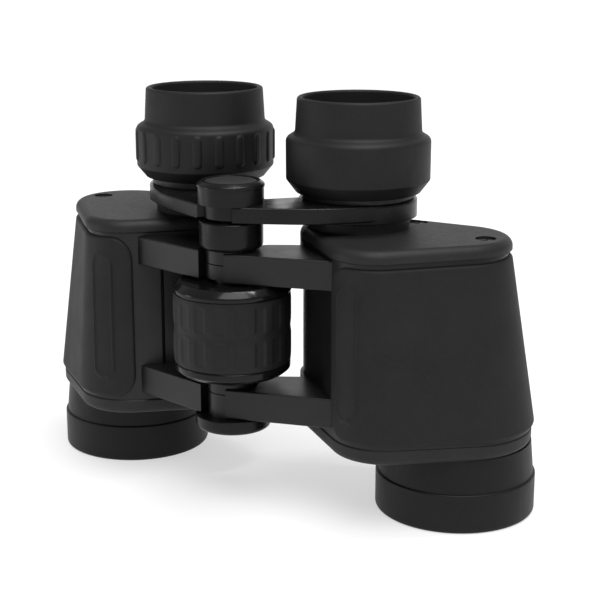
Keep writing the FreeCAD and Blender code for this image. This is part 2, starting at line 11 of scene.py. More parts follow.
import bmesh
import bpy
from mathutils import Euler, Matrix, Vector


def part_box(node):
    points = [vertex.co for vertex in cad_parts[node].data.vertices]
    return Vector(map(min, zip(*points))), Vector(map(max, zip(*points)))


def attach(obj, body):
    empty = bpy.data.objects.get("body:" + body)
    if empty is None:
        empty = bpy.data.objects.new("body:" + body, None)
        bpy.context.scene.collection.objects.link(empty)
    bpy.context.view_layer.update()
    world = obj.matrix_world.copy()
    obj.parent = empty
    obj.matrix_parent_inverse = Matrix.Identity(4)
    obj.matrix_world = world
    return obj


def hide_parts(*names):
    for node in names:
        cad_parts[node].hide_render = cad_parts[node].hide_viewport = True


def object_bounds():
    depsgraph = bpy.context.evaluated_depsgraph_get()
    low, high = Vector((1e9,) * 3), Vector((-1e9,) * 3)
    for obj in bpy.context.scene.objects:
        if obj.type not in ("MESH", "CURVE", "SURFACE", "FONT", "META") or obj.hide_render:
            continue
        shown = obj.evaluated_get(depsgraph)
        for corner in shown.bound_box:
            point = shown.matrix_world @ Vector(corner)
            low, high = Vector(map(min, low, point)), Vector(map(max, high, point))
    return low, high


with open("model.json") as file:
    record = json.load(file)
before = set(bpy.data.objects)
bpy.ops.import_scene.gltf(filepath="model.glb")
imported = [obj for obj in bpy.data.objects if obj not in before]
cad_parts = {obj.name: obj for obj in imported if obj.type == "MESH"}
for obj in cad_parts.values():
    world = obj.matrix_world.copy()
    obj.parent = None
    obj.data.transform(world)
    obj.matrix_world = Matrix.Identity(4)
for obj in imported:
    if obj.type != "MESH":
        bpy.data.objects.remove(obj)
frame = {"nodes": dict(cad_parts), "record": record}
cad_box = [list(corner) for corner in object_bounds()]
NODES = frame["nodes"]
MM = 0.001
TAU = 2 * math.pi
SIDES = {"left": 1.0, "right": -1.0}


# ---- Where things are: read from the frame -------------------------------------------------------
def axis_of(node):
    """Plan position of a turned node's own axis, in metres."""
    low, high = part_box(node)
    middle = (low + high) / 2
    return (middle.x, middle.y)


AXLE = axis_of("hinge_axle")
EYE = axis_of("left_eyepiece_tube")
OBJECTIVE = axis_of("left_objective_ring")


def mirrored_axis(axis, side):
    """The left half's axis, or its mirror image for the right half."""
    return (axis[0] * SIDES[side], axis[1])


def z_range(node):
    """Lower and upper end of a node, in millimetres."""
    return tuple(corner.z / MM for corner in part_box(node))


# ---- Mesh helpers --------------------------------------------------------------------------------
MERGE = 1e-7            # vertices closer than this are one, in metres
SLIVER_AREA = 1e-14     # faces smaller than this are left out, in square metres
ON_AXIS = 1e-6          # a profile point nearer to the axis than this lies on it, in millimetres
ARC_STEP = 11.0         # largest angle between two points of a rounded corner, in degrees
CORNER_SHARE = 0.48     # a rounding takes at most this share of the shorter edge beside it
SHARP_ANGLE = 32.0      # edges sharper than this keep a hard shade, in degrees
COLUMNS = 128           # columns of a small turned piece
WIDE_COLUMNS = 160      # columns of a wide one


def finish_mesh(name, bm, body, slot, nodes, sharp=SHARP_ANGLE):
    """Turn a bmesh into a piece that rides on a body, in a slot's finish, and stands for CAD nodes."""
    bmesh.ops.remove_doubles(bm, verts=bm.verts, dist=MERGE)
    bmesh.ops.recalc_face_normals(bm, faces=bm.faces)
    mesh = bpy.data.meshes.new(name)
    bm.to_mesh(mesh)
    bm.free()
    for polygon in mesh.polygons:
        polygon.use_smooth = True
    mesh.set_sharp_from_angle(angle=math.radians(sharp))
    piece = bpy.data.objects.new(name, mesh)
    bpy.context.scene.collection.objects.link(piece)
    mesh.materials.append(LOOKS[slot])
    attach(piece, body)
    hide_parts(*nodes)


def rounded_profile(corners):
    """Closed profile from (radius, z, rounding) corners in millimetres, with real arcs at the corners."""
    points = []
    for index, (r, z, rounding) in enumerate(corners):
        here = Vector((r, z))
        if rounding <= 0:
            points.append(here)
            continue
        before = Vector(corners[index - 1][:2]) - here
        after = Vector(corners[(index + 1) % len(corners)][:2]) - here
        half = before.angle(after) / 2
        reach = rounding / math.tan(half)
        longest = CORNER_SHARE * min(before.length, after.length)
        if reach > longest:
            reach = longest
            rounding = reach * math.tan(half)
        bisector = (before.normalized() + after.normalized()).normalized()
        middle = here + bisector * (rounding / math.sin(half))
        start = here + before.normalized() * reach - middle
        end = here + after.normalized() * reach - middle
        turn = start.angle_signed(end)
        steps = max(2, math.ceil(abs(math.degrees(turn)) / ARC_STEP))
        for step in range(steps + 1):
            angle = -turn * step / steps
            spun = Vector((
                start.x * math.cos(angle) - start.y * math.sin(angle),
                start.x * math.sin(angle) + start.y * math.cos(angle),
            ))
            points.append(middle + spun)
    return points


def refined(points, longest):
    """Split the long runs of a closed profile so that none is longer than this."""
    result = []
    for start, end in zip(points, points[1:] + points[:1]):
        pieces = max(1, math.ceil((end - start).length / longest))
        for piece in range(pieces):
            result.append(start.lerp(end, piece / pieces))
    return result


def lathe(bm, points, axis, columns, reach):
    """Revolve profile points about a vertical axis; reach(angle, r, z) may push the surface out or in."""
    rings = []
    for column in range(columns):
        angle = TAU * column / columns
        ring = []
        for point in points:
            r = point.x
            if reach is not None:
                r = r + reach(angle, point.x, point.y)
            ring.append(bm.verts.new((
                axis[0] + r * MM * math.cos(angle),
                axis[1] + r * MM * math.sin(angle),
                point.y * MM,
            )))
        rings.append(ring)
    for column in range(columns):
        ring = rings[column]
        following = rings[(column + 1) % columns]
        for index, point in enumerate(points):
            upper = (index + 1) % len(points)
            along_axis = point.x < ON_AXIS and points[upper].x < ON_AXIS
            if not along_axis:
                bm.faces.new((ring[index], following[index], following[upper], ring[upper]))


def turned(name, corners, axis, body, slot, nodes, columns=COLUMNS, reach=None, longest=None):
    """A lathed piece with rounded corners."""
    points = rounded_profile(corners)
    if longest:
        points = refined(points, longest)
    bm = bmesh.new()
    lathe(bm, points, axis, columns, reach)
    bmesh.ops.remove_doubles(bm, verts=bm.verts, dist=MERGE)
    slivers = [face for face in bm.faces if face.calc_area() < SLIVER_AREA]
    bmesh.ops.delete(bm, geom=slivers, context="FACES_ONLY")
    finish_mesh(name, bm, body, slot, nodes)


def smooth_step(low, high, value):
    part = min(1.0, max(0.0, (value - low) / (high - low)))
    return part * part * (3 - 2 * part)


# ---- Materials -----------------------------------------------------------------------------------
MIX_FIRST_COLOUR = 6        # places of the colour sockets on a mix node
MIX_SECOND_COLOUR = 7
MIX_COLOUR = 2


class Graph:
    """Small wrapper that adds nodes to a material and links them."""

    def __init__(self, name):
        self.material = bpy.data.materials.new(name)
        self.material.use_nodes = True
        self.tree = self.material.node_tree
        self.shader = self.tree.nodes["Principled BSDF"]
        self.place = self.add("ShaderNodeTexCoord").outputs["Object"]

    def add(self, kind, **values):
        node = self.tree.nodes.new(kind)
        for key, value in values.items():
            setattr(node, key, value)
        return node

    def link(self, source, target):
        self.tree.links.new(source, target)

    def noise(self, scale, detail=3.0, roughness=0.5, stretch=None):
        """Noise of this scale in object space, which stretch may draw out along an axis."""
        node = self.add("ShaderNodeTexNoise")
        node.inputs["Scale"].default_value = scale
        node.inputs["Detail"].default_value = detail
        node.inputs["Roughness"].default_value = roughness
        if stretch is None:
            self.link(self.place, node.inputs["Vector"])
        else:
            mapping = self.add("ShaderNodeMapping")
            mapping.inputs["Scale"].default_value = stretch
            self.link(self.place, mapping.inputs["Vector"])
            self.link(mapping.outputs["Vector"], node.inputs["Vector"])
        return node.outputs["Fac"]

    def cells(self, scale):
        """Distance to the nearest of scattered points: pebbles."""
        node = self.add("ShaderNodeTexVoronoi")
        node.inputs["Scale"].default_value = scale
        self.link(self.place, node.inputs["Vector"])
        return node.outputs["Distance"]

    def ramp(self, source, low, high, start=0.3, end=0.7):
        """Colour that goes from low to high as the source goes from start to end."""
        node = self.add("ShaderNodeValToRGB")
        node.color_ramp.elements[0].position = start
        node.color_ramp.elements[1].position = end
        node.color_ramp.elements[0].color = (*low, 1.0)
        node.color_ramp.elements[1].color = (*high, 1.0)
        self.link(source, node.inputs["Fac"])
        return node.outputs["Color"]

    def span(self, source, low, high, start=0.3, end=0.7):
        """Value that goes from low to high as the source goes from start to end."""
        node = self.add("ShaderNodeMapRange")
        node.inputs["From Min"].default_value = start
        node.inputs["From Max"].default_value = end
        node.inputs["To Min"].default_value = low
        node.inputs["To Max"].default_value = high
        self.link(source, node.inputs["Value"])
        return node.outputs["Result"]

    def blend(self, factor, first, second):
        """Mix of two colours."""
        node = self.add("ShaderNodeMix", data_type="RGBA")
        self.link(factor, node.inputs["Factor"])
        self.link(first, node.inputs[MIX_FIRST_COLOUR])
        self.link(second, node.inputs[MIX_SECOND_COLOUR])
        return node.outputs[MIX_COLOUR]

    def bump(self, heights):
        """Chain of bumps from (height output, depth in millimetres) pairs."""
        normal = None
        for height, depth in heights:
            node = self.add("ShaderNodeBump")
            node.inputs["Strength"].default_value = 1.0
            node.inputs["Distance"].default_value = depth * MM
            self.link(height, node.inputs["Height"])
            if normal is not None:
                self.link(normal, node.inputs["Normal"])
            normal = node.outputs["Normal"]
        self.link(normal, self.shader.inputs["Normal"])

    def constants(self, **values):
        """Set shader sockets, named with underscores for spaces."""
        for key, value in values.items():
            self.shader.inputs[key.replace("_", " ")].default_value = value


def grey(level, cool=0.0):
    """A grey that leans to blue by the share that cool gives."""
    return (level * (1 - cool), level, level * (1 + cool))


def dusty(graph, dark, light, cool, patch_scale, speck_scale, speck_gain):
    """Slow patches of tone with fine specks over them."""
    tone_low = grey(dark, cool)
    tone_high = grey(light, cool)
    speck_tone = grey(light * speck_gain, cool)
    patches = graph.ramp(graph.noise(patch_scale, detail=4.0, roughness=0.6), tone_low, tone_high)
    specks = graph.ramp(graph.noise(speck_scale, detail=2.0), speck_tone, tone_low, start=0.42, end=0.6)
    clusters = graph.noise(speck_scale * 0.37, detail=1.0)
    amount = graph.span(clusters, 0.0, 0.55, start=0.45, end=0.75)
    graph.link(graph.blend(amount, patches, specks), graph.shader.inputs["Base Color"])


def rubber(name, dark, light, rough, grain_mm, depth_mm):
    """Soft-touch rubber: pebbled grain, a little sheen, uneven dullness."""
    graph = Graph(name)
    dusty(graph, dark, light, cool=0.012, patch_scale=55.0, speck_scale=2600.0, speck_gain=1.35)
    wear = graph.noise(140.0, detail=4.0, roughness=0.6)
    graph.link(graph.span(wear, *rough), graph.shader.inputs["Roughness"])
    pebbles = graph.cells(1 / (grain_mm * MM))
    fine = graph.noise(4200.0, detail=2.0)
    graph.bump([(pebbles, depth_mm), (fine, depth_mm * 0.5)])
    graph.constants(IOR=1.42, Specular_IOR_Level=0.34)
    return graph.material


def paint(name, dark, light, rough, depth_mm, shine):
    """Baked satin paint on a casting: orange peel under a fine texture."""
    graph = Graph(name)
    dusty(graph, dark, light, cool=0.02, patch_scale=70.0, speck_scale=3200.0, speck_gain=1.5)
    wear = graph.noise(180.0, detail=4.0, roughness=0.55)
    graph.link(graph.span(wear, *rough), graph.shader.inputs["Roughness"])
    peel = graph.noise(900.0, detail=2.0)
    fine = graph.noise(3600.0, roughness=0.6)
    graph.bump([(peel, depth_mm), (fine, depth_mm * 0.6)])
    graph.constants(IOR=1.45, Specular_IOR_Level=shine)
    return graph.material


def moulded(name, dark, light, rough, depth_mm, shine, coat=0.0):
    """Moulded plastic: faint flow marks, a fine eroded surface."""
    graph = Graph(name)
    dusty(graph, dark, light, cool=0.015, patch_scale=90.0, speck_scale=2400.0, speck_gain=1.3)
    flow = graph.noise(620.0, stretch=(1.0, 1.0, 0.4))
    graph.link(graph.span(flow, *rough), graph.shader.inputs["Roughness"])
    fine = graph.noise(3000.0, roughness=0.6)
    graph.bump([(fine, depth_mm)])
    graph.constants(Coat_Weight=coat, Coat_Roughness=0.1, IOR=1.44, Specular_IOR_Level=shine)
    return graph.material


def lathe_metal(name, colour, rough, metallic=1.0):
    """Turned metal with fine tool rings along its axis."""
    graph = Graph(name)
    dull = tuple(channel * 0.82 for channel in colour)
    graph.link(graph.ramp(graph.noise(300.0, detail=4.0), dull, colour), graph.shader.inputs["Base Color"])
    graph.link(graph.span(graph.noise(500.0), *rough), graph.shader.inputs["Roughness"])
    rings = graph.add("ShaderNodeTexWave", bands_direction="Z")
    rings.inputs["Scale"].default_value = 900.0
    rings.inputs["Distortion"].default_value = 0.6
    graph.link(graph.place, rings.inputs["Vector"])
    graph.bump([(rings.outputs["Fac"], 0.005)])
    graph.constants(Metallic=metallic)
    return graph.material


def glass(name, tint, film_nm):
    """Clear glass with a thin coating; faint smears change its polish."""
    graph = Graph(name)
    pale = tuple(min(1.0, channel * 1.02) for channel in tint)
    graph.link(graph.ramp(graph.noise(90.0), tint, pale), graph.shader.inputs["Base Color"])
    graph.link(graph.span(graph.noise(220.0, detail=4.0), 0.0, 0.03), graph.shader.inputs["Roughness"])
    graph.constants(Transmission_Weight=1.0, IOR=1.57)
    graph.constants(Thin_Film_Thickness=film_nm, Thin_Film_IOR=1.38)
    return graph.material


LOOKS = {
    "armor_rubber": rubber("armor_rubber_look", 0.006, 0.010, (0.60, 0.67), grain_mm=0.42, depth_mm=0.020),
    "cup_rubber": rubber("cup_rubber_look", 0.006, 0.010, (0.56, 0.63), grain_mm=0.38, depth_mm=0.014),
    "grip_rubber": rubber("grip_rubber_look", 0.005, 0.009, (0.52, 0.59), grain_mm=0.34, depth_mm=0.012),
    "housing_paint": paint("housing_paint_look", 0.005, 0.008, (0.36, 0.42), depth_mm=0.010, shine=0.38),
    "bridge_paint": paint("bridge_paint_look", 0.004, 0.007, (0.25, 0.31), depth_mm=0.003, shine=0.22),
    "cap_disc": paint("cap_disc_look", 0.026, 0.036, (0.32, 0.42), depth_mm=0.006, shine=0.4),
    "plate_black": moulded("plate_black_look", 0.012, 0.016, (0.50, 0.56), depth_mm=0.012, shine=0.28),
    "barrel_black": moulded("barrel_black_look", 0.004, 0.006, (0.46, 0.52), depth_mm=0.010, shine=0.26),
    "collar_black": moulded("collar_black_look", 0.005, 0.009, (0.52, 0.58), depth_mm=0.012, shine=0.33),
    "wheel_gloss": moulded(
        "wheel_gloss_look", 0.003, 0.005, (0.20, 0.26), depth_mm=0.001, shine=0.12, coat=0.25,
    ),
    "cell_black": lathe_metal("cell_black_look", (0.02, 0.02, 0.022), (0.42, 0.55), metallic=0.35),
    "screw_black": lathe_metal("screw_black_look", (0.07, 0.07, 0.075), (0.30, 0.42), metallic=0.8),
    "axle_steel": lathe_metal("axle_steel_look", (0.045, 0.045, 0.050), (0.34, 0.46), metallic=0.8),
    "nut_brass": lathe_metal("nut_brass_look", (0.62, 0.47, 0.24), (0.25, 0.38)),
    "shelf_metal": lathe_metal("shelf_metal_look", (0.36, 0.36, 0.38), (0.38, 0.52)),
    "spring_steel": lathe_metal("spring_steel_look", (0.46, 0.46, 0.47), (0.24, 0.36)),
    "objective_glass": glass("objective_glass_look", (0.93, 0.97, 0.98), film_nm=310.0),
    "eyepiece_glass": glass("eyepiece_glass_look", (0.94, 0.97, 0.99), film_nm=180.0),
    "prism_glass": glass("prism_glass_look", (0.95, 0.98, 0.97), film_nm=0.0),
}


def dress_cad_nodes():
    """Give every CAD node the finish of its record slot."""
    for part in frame["record"]["subparts"]:
        node = NODES[part["node"]]
        node.data.materials.clear()
        node.data.materials.append(LOOKS[part["material_slot"]])


# ---- Rubber armour -------------------------------------------------------------------------------
# The housing's outline wraps three discs (x and y from the axle, radius), in millimetres.  They are given
# at the armour's lower and upper edge, for the left half; the right half mirrors them.
DISCS_LOW = [(26.5, 27.1, 17.9), (44.6, 10.7, 16.9), (58.2, 29.3, 23.0)]
DISCS_TOP = [(26.5, 27.1, 17.9), (42.3, 7.5, 13.0), (57.1, 27.6, 16.5)]
DISC_STEPS = 48                           # outline points on each disc, less one
FRONT_BACK_Y = 14.0                       # outline points nearer than this are on the front side
ARMOR_SKIN = 1.1                          # thickness of the rubber
LINING_GAP = 0.04                         # height of the shell's inner face above the casting
FRONT_SEAM = 33.6                         # x of the front seam
BACK_SEAM = 24.0                          # x of the back seam
SEAM_CORNER = 7.0                         # radius of the armour's four corners at the seams
RIM_ROUND = 1.0                           # radius of the rolled rim
OVAL = {"left": 40.4, "right": 42.7}      # middle of the embossed oval, measured along X
OVAL_HALF_WIDTH = 3.2
OVAL_Z = (33.6, 71.9)
OVAL_LINE = 0.75                          # width of the oval's raised line
OVAL_CREST = 0.1                          # half of the line's flat crest
OVAL_SLOPE = 0.25                         # how far the line's foot spreads on each side
OVAL_RISE = 0.46
OVAL_FIELD_RISE = 0.35                    # share of that rise inside the oval
OVAL_FAR_X = 56                           # no part of the oval is further out than this
OVAL_BAND = (2.0, 16.5)                   # distances from the front seam that need fine columns
EDGE_BAND = 2.2                           # so do distances from an edge below this
BAND_LEAD = 0.3                           # a fine band starts this much early
FINE_STEP = 0.16
COARSE_STEP = 0.9
SAME_PLACE = 1e-9                         # shorter runs of the outline have no direction
END_REACHED = 1e-6
ARMOR_SHARP = 50.0                        # edges sharper than this keep a hard shade, in degrees


def hull_outline(part):
    """Anticlockwise points of the outline around the discs, at a share of the armour's height."""
    discs = [tuple(a + (b - a) * part for a, b in zip(low, top)) for low, top in zip(DISCS_LOW, DISCS_TOP)]
    turns = []
    for (x1, y1, r1), (x2, y2, r2) in zip(discs, discs[1:] + discs[:1]):
        along = math.atan2(y2 - y1, x2 - x1)
        turns.append(along - math.acos((r1 - r2) / math.hypot(x2 - x1, y2 - y1)))
    outline = []
    for index, (x, y, r) in enumerate(discs):
        start = turns[index - 1]
        end = turns[index]
        while end < start:
            end += TAU
        for step in range(DISC_STEPS + 1):
            angle = start + (end - start) * step / DISC_STEPS
            outline.append(Vector((x + r * math.cos(angle), y + r * math.sin(angle))))
    return outline


def edges_of(outline):
    return zip(outline, outline[1:] + outline[:1])


def crossing(outline, x, front):
    """Distance along the closed outline at which it crosses this x on the front or back side."""
    walked = 0.0
    for here, there in edges_of(outline):
        step = (there - here).length
        crosses = (here.x - x) * (there.x - x) <= 0 and here.x != there.x
        if crosses:
            share = (x - here.x) / (there.x - here.x)
            y = here.y + (there.y - here.y) * share
            if (y < FRONT_BACK_Y) == front:
                return walked + step * share
        walked += step
    raise ValueError("the outline does not reach that seam")


def point_at(outline, distance):
    """Point and outward normal at a distance along the closed outline."""
    walked = 0.0
    for here, there in edges_of(outline):
        step = (there - here).length
        if step > SAME_PLACE and walked + step >= distance:
            along = (there - here) / step
            return here + along * (distance - walked), Vector((along.y, -along.x))
        walked += step
    along = (outline[0] - outline[-1]).normalized()
    return outline[0], Vector((along.y, -along.x))


def spaced(total, bands):
    """Distances from 0 to total: fine near both ends and inside the given bands, coarse elsewhere."""
    marks = [0.0]
    while marks[-1] < total - END_REACHED:
        here = marks[-1]
        near_end = min(here, total - here) < EDGE_BAND
        in_band = any(low - BAND_LEAD < here < high for low, high in bands)
        following = here + (FINE_STEP if near_end or in_band else COARSE_STEP)
        for low, _ in bands:
            if here < low - BAND_LEAD < following:
                following = low - BAND_LEAD
        if here < total - EDGE_BAND < following:
            following = total - EDGE_BAND
        marks.append(min(following, total))
    return marks


def rim_height(from_edge):
    """Height of the plain rubber above the housing, this far from its rolled edge."""
    share = 1 - from_edge / RIM_ROUND
    if share <= 0:
        return ARMOR_SKIN
    return ARMOR_SKIN - RIM_ROUND * (1 - math.sqrt(max(0.0, 1 - share * share)))


def oval_height(x, z):
    """How much the embossed oval adds to that, this far from the oval's upright centre line."""
    low = OVAL_Z[0] + OVAL_HALF_WIDTH
    high = OVAL_Z[1] - OVAL_HALF_WIDTH
    past_end = max(low - z, 0.0, z - high)
    from_spine = math.hypot(x, past_end)
    from_line = abs(from_spine - OVAL_HALF_WIDTH)
    height = OVAL_RISE * (1 - smooth_step(OVAL_CREST, OVAL_LINE / 2 + OVAL_SLOPE, from_line))
    if from_spine < OVAL_HALF_WIDTH:
        height += OVAL_RISE * OVAL_FIELD_RISE
    return height


class ArmorRow:
    """One level of the armour: the stretch of the housing's outline that the rubber covers there."""

    def __init__(self, z, height):
        self.z = z
        self.from_end = min(z, height - z)
        self.outline = hull_outline(z / height)
        self.length = sum((there - here).length for here, there in edges_of(self.outline))
        self.tuck = 0.0
        if self.from_end < SEAM_CORNER:
            drop = SEAM_CORNER - self.from_end
            self.tuck = SEAM_CORNER - math.sqrt(max(0.0, SEAM_CORNER ** 2 - drop ** 2))
        front = crossing(self.outline, FRONT_SEAM, True)
        back = crossing(self.outline, BACK_SEAM, False)
        if back < front:
            back += self.length
        self.start = front + self.tuck
        self.end = back - self.tuck

    def from_edge(self, distance):
        """How far a point of this row is from the armour's edge, around the rounded corners too."""
        along_row = min(distance - self.start, self.end - distance)
        nearest = min(along_row, self.from_end)
        beside = SEAM_CORNER - (along_row + self.tuck)
        above = SEAM_CORNER - self.from_end
        if self.tuck > 0 and beside > 0 and above > 0:
            nearest = min(nearest, SEAM_CORNER - math.hypot(beside, above))
        return max(0.0, nearest)


def armor(side):
    """Thin rubber shell around the housing: a rolled rim, and an oval embossed near the front seam."""
    low, high = z_range(side + "_armor")
    height = high - low
    rows = [ArmorRow(z, height) for z in spaced(height, [])]
    middle_row = rows[len(rows) // 2]
    total = middle_row.end - middle_row.start
    shares = [mark / total for mark in spaced(total, [OVAL_BAND])]
    bm = bmesh.new()
    outer = []
    inner = []
    for row in rows:
        outer.append([])
        inner.append([])
        for share in shares:
            distance = row.start + (row.end - row.start) * share
            here, normal = point_at(row.outline, distance % row.length)
            relief = rim_height(row.from_edge(distance))
            if here.y < FRONT_BACK_Y and here.x < OVAL_FAR_X:
                relief += oval_height(here.x - OVAL[side], low + row.z)
            for skin, rise in ((outer, relief), (inner, LINING_GAP)):
                spot = here + normal * (rise - ARMOR_SKIN)
                skin[-1].append(bm.verts.new((
                    SIDES[side] * spot.x * MM,
                    AXLE[1] + spot.y * MM,
                    (low + row.z) * MM,
                )))
    close_shell(bm, outer, inner)
    finish_mesh(side + "_armor_skin", bm, side + "_half", "armor_rubber", [side + "_armor"], ARMOR_SHARP)


def close_shell(bm, outer, inner):
    """Faces over two grids of vertices, and between their four borders."""
    last_row = len(outer) - 1
    last_column = len(outer[0]) - 1
    for grid in (outer, inner):
        for lower, upper in zip(grid, grid[1:]):
            for column in range(last_column):
                bm.faces.new((lower[column], lower[column + 1], upper[column + 1], upper[column]))
    for column in range(last_column):
        for row in (0, last_row):
            bm.faces.new((
                outer[row][column], outer[row][column + 1],
                inner[row][column + 1], inner[row][column],
            ))
    for row in range(last_row):
        for column in (0, last_column):
            bm.faces.new((
                outer[row][column], outer[row + 1][column],
                inner[row + 1][column], inner[row][column],
            ))


# ---- Turned pieces -------------------------------------------------------------------------------
# Design values in millimetres, as on the CAD nodes that these pieces stand for.
RIM_R = 23.5                # objective rim
RIM_BORE_R = 19.0
RIM_TOP = 11.7
RIM_LEDGE = 9.0             # the barrel sits on this ledge inside the rim
SPIGOT_R = 20.8             # the barrel's end inside the rim
BARREL_LOW_R = 22.9
BARREL_TOP_R = 22.0
PLATE_FACE = 21.6           # underside of the objective plate, where the barrel meets it
NOSE_R = 19.4               # the barrel's end inside the plate
NOSE_TOP = 26.3
LENS_SEAT_R = 18.6
LENS_SEAT_TOP = 19.5
LENS_STOP_R = 16.8

TUBE_R = 13.4               # eyepiece tube
TUBE_LOW = 73.5
TUBE_BORE_R = 11.2
RING_SEAT_R = 15.0          # the bridge ring holds the tube here
RING_SEAT_TOP = {"left": 90.7, "right": 90.4}
NECK_R = 16.25
NECK_TOP = 95.0
CELL_TUBE_R = 14.55
CELL_BORE_R = 11.9
CELL_BORE_LOW = 92.0
FIELD_STOP_R = 10.2
FIELD_STOP_LOW = 85.0

RUN_GAP = {"left": 0.0, "right": 0.05}      # the right collar turns, so it has this much play
COLLAR_NODE = {"left": "left_eyepiece_collar", "right": "right_diopter_ring"}
COLLAR_R = 21.0
COLLAR_TOP = 108.9
COLLAR_LEDGE = {"left": 95.0, "right": 95.3}
COLLAR_NECK_R = 16.3
COLLAR_BORE_R = 14.65
CUP_SEAT_R = 17.05
CUP_SEAT_LOW = 99.0

CUP_FOOT_R = 17.0           # the cup's foot inside the collar
CUP_FOOT_LOW = 99.3
CUP_TOP = 119.6
EYE_SHELF = (106.7, 108.2)  # shelf around the eye opening
EYE_HOLE_R = 10.0


def objective_end(side):
    """Barrel that flares out of the objective plate, and the rim it carries."""
    axis = mirrored_axis(OBJECTIVE, side)
    barrel = [
        (LENS_SEAT_R, RIM_LEDGE, 0.1), (SPIGOT_R, RIM_LEDGE, 0), (SPIGOT_R, RIM_TOP, 0),
        (BARREL_LOW_R, RIM_TOP, 0), (BARREL_TOP_R, PLATE_FACE, 0), (NOSE_R, PLATE_FACE, 0),
        (NOSE_R, NOSE_TOP, 0), (LENS_STOP_R, NOSE_TOP, 0.2), (LENS_STOP_R, LENS_SEAT_TOP, 0),
        (LENS_SEAT_R, LENS_SEAT_TOP, 0),
    ]
    turned(side + "_objective_barrel", barrel, axis, side + "_half", "barrel_black",
           [side + "_objective_tube"], WIDE_COLUMNS)
    rim = [
        (21.2, 0.0, 0.5), (RIM_R, 0.0, 1.7), (RIM_R, RIM_TOP, 0.55), (SPIGOT_R, RIM_TOP, 0),
        (SPIGOT_R, RIM_LEDGE, 0), (RIM_BORE_R, RIM_LEDGE, 0.3),
    ]
    turned(side + "_objective_rim", rim, axis, side + "_half", "barrel_black",
           [side + "_objective_ring"], WIDE_COLUMNS)


def eyepiece(side):
    """Tube, collar or diopter ring, and eyecup of one eyepiece."""
    axis = mirrored_axis(EYE, side)
    bridge = side + "_bridge"
    ring_low = z_range(side + "_bridge_arm")[0]
    seat_top = RING_SEAT_TOP[side]
    tube_top = z_range(side + "_eyepiece_tube")[1]
    tube = [
        (TUBE_BORE_R, TUBE_LOW, 0.3), (TUBE_R, TUBE_LOW, 0.4), (TUBE_R, ring_low, 0),
        (RING_SEAT_R, ring_low, 0), (RING_SEAT_R, seat_top, 0), (NECK_R, seat_top, 0.2),
        (NECK_R, NECK_TOP, 0.2), (CELL_TUBE_R, NECK_TOP, 0.1), (CELL_TUBE_R, tube_top, 0.2),
        (CELL_BORE_R, tube_top, 0.2), (CELL_BORE_R, CELL_BORE_LOW, 0), (FIELD_STOP_R, CELL_BORE_LOW, 0),
        (FIELD_STOP_R, FIELD_STOP_LOW, 0), (TUBE_BORE_R, FIELD_STOP_LOW, 0),
    ]
    turned(side + "_eyepiece_barrel", tube, axis, bridge, "cell_black", [side + "_eyepiece_tube"])

    neck_r = COLLAR_NECK_R + RUN_GAP[side]
    bore_r = COLLAR_BORE_R + RUN_GAP[side]
    base = z_range(COLLAR_NODE[side])[0]
    ledge = COLLAR_LEDGE[side]
    collar = [
        (neck_r, base, 0.1), (18.2, base, 0.4), (20.95, 95.95, 0.7), (COLLAR_R, 107.8, 1.9),
        (19.1, COLLAR_TOP, 0.25), (CUP_SEAT_R, COLLAR_TOP, 0.1), (CUP_SEAT_R, CUP_SEAT_LOW, 0),
        (bore_r, CUP_SEAT_LOW, 0), (bore_r, ledge, 0), (neck_r, ledge, 0),
    ]
    if side == "left":
        cup_body = bridge
        turned("left_collar_body", collar, axis, bridge, "collar_black", [COLLAR_NODE[side]], WIDE_COLUMNS)
    else:
        cup_body = "diopter"
        turned("right_diopter_body", collar, axis, "diopter", "collar_black", [COLLAR_NODE[side]],
               RIBS * RIB_COLUMNS, diopter_ribs, longest=0.35)

    shelf_low, shelf_high = EYE_SHELF
    cup = [
        (bore_r, CUP_FOOT_LOW, 0), (CUP_FOOT_R, CUP_FOOT_LOW, 0), (CUP_FOOT_R, COLLAR_TOP, 0),
        (19.0, COLLAR_TOP, 0), (18.35, 109.6, 1.6), (17.75, CUP_TOP, 0.85), (16.1, CUP_TOP, 0.75),
        (16.45, 109.9, 0.4), (15.8, 109.1, 0.4), (15.8, shelf_high, 0.3), (EYE_HOLE_R, shelf_high, 0.3),
        (EYE_HOLE_R, shelf_low, 0.2), (bore_r, shelf_low, 0),
    ]
    turned(side + "_eyecup_rubber", cup, axis, cup_body, "cup_rubber", [side + "_eyecup"], WIDE_COLUMNS)


RIBS = 20
RIB_COLUMNS = 28            # columns of the lathe for each rib
RIB_HALF = 1.27             # half of a rib's width
RIB_RISE = 0.44
RIB_Z = (97.6, 107.0)
RIBBED_R = 19.0             # the ring's wall outside this radius carries the ribs


def diopter_ribs(angle, r, z):
    """Rise of the grip ribs around the diopter ring, in millimetres."""
    low, high = RIB_Z
    if r < RIBBED_R or not low < z < high:
        return 0.0
    pitch = TAU / RIBS
    beside = abs((angle % pitch) - pitch / 2) * r
    past_end = max(low + RIB_HALF - z, 0.0, z - (high - RIB_HALF))
    from_spine = math.hypot(beside, past_end) / RIB_HALF
    if from_spine >= 1:
        return 0.0
    crown = COLLAR_R + RIB_RISE * math.sqrt(1 - from_spine ** 4)
    return max(0.0, crown - r)


WHEEL_BORE_R = 14.6         # hub inside the grip and the flanges
GRIP_R = 17.2
GRIP_GAP = 0.05             # between the grip and each flange
FLUTES = 18
FLUTE_COLUMNS = 22          # columns of the lathe for each flute
FLUTE_HALF = 1.75           # half of a flute's width
FLUTE_DEPTH = 0.30
FLUTE_FADE = 0.9            # length of a flute's run-out
FLUTE_END_GAP = 1.4         # from a flute's end to the grip's end
FLUTE_WAIST_GAP = 0.9       # and to the waist between the two rows
FLUTED_R = 16.3             # the grip's wall outside this radius carries the flutes


